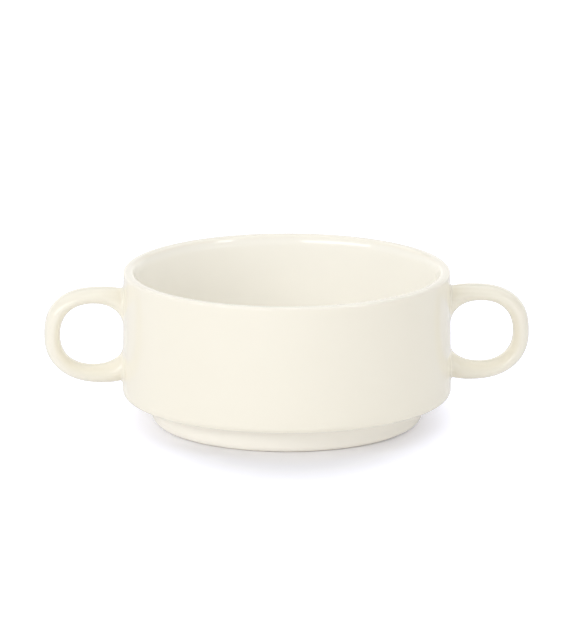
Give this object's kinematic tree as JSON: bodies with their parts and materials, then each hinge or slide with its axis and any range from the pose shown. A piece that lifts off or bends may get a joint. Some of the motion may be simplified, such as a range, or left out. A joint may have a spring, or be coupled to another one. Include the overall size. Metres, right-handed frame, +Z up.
{
  "type": "bouillon cup",
  "caption": "Low straight-sided soup cup in cream glazed ceramic, with a loop handle on each side and a stepped stacking foot.",
  "frame": {"origin": "centre of the foot, on the surface that the cup stands on", "axes": "+Z up along the cup's axis, +X through the middle of one handle, +Y across the handles"},
  "size_m": [0.1562, 0.106, 0.0495],
  "materials": {
    "glaze": "glossy cream glaze all over, bare biscuit on the standing ring"
  },
  "bodies": {
    "root": {"cup": "glaze"}
  },
  "joints": []
}
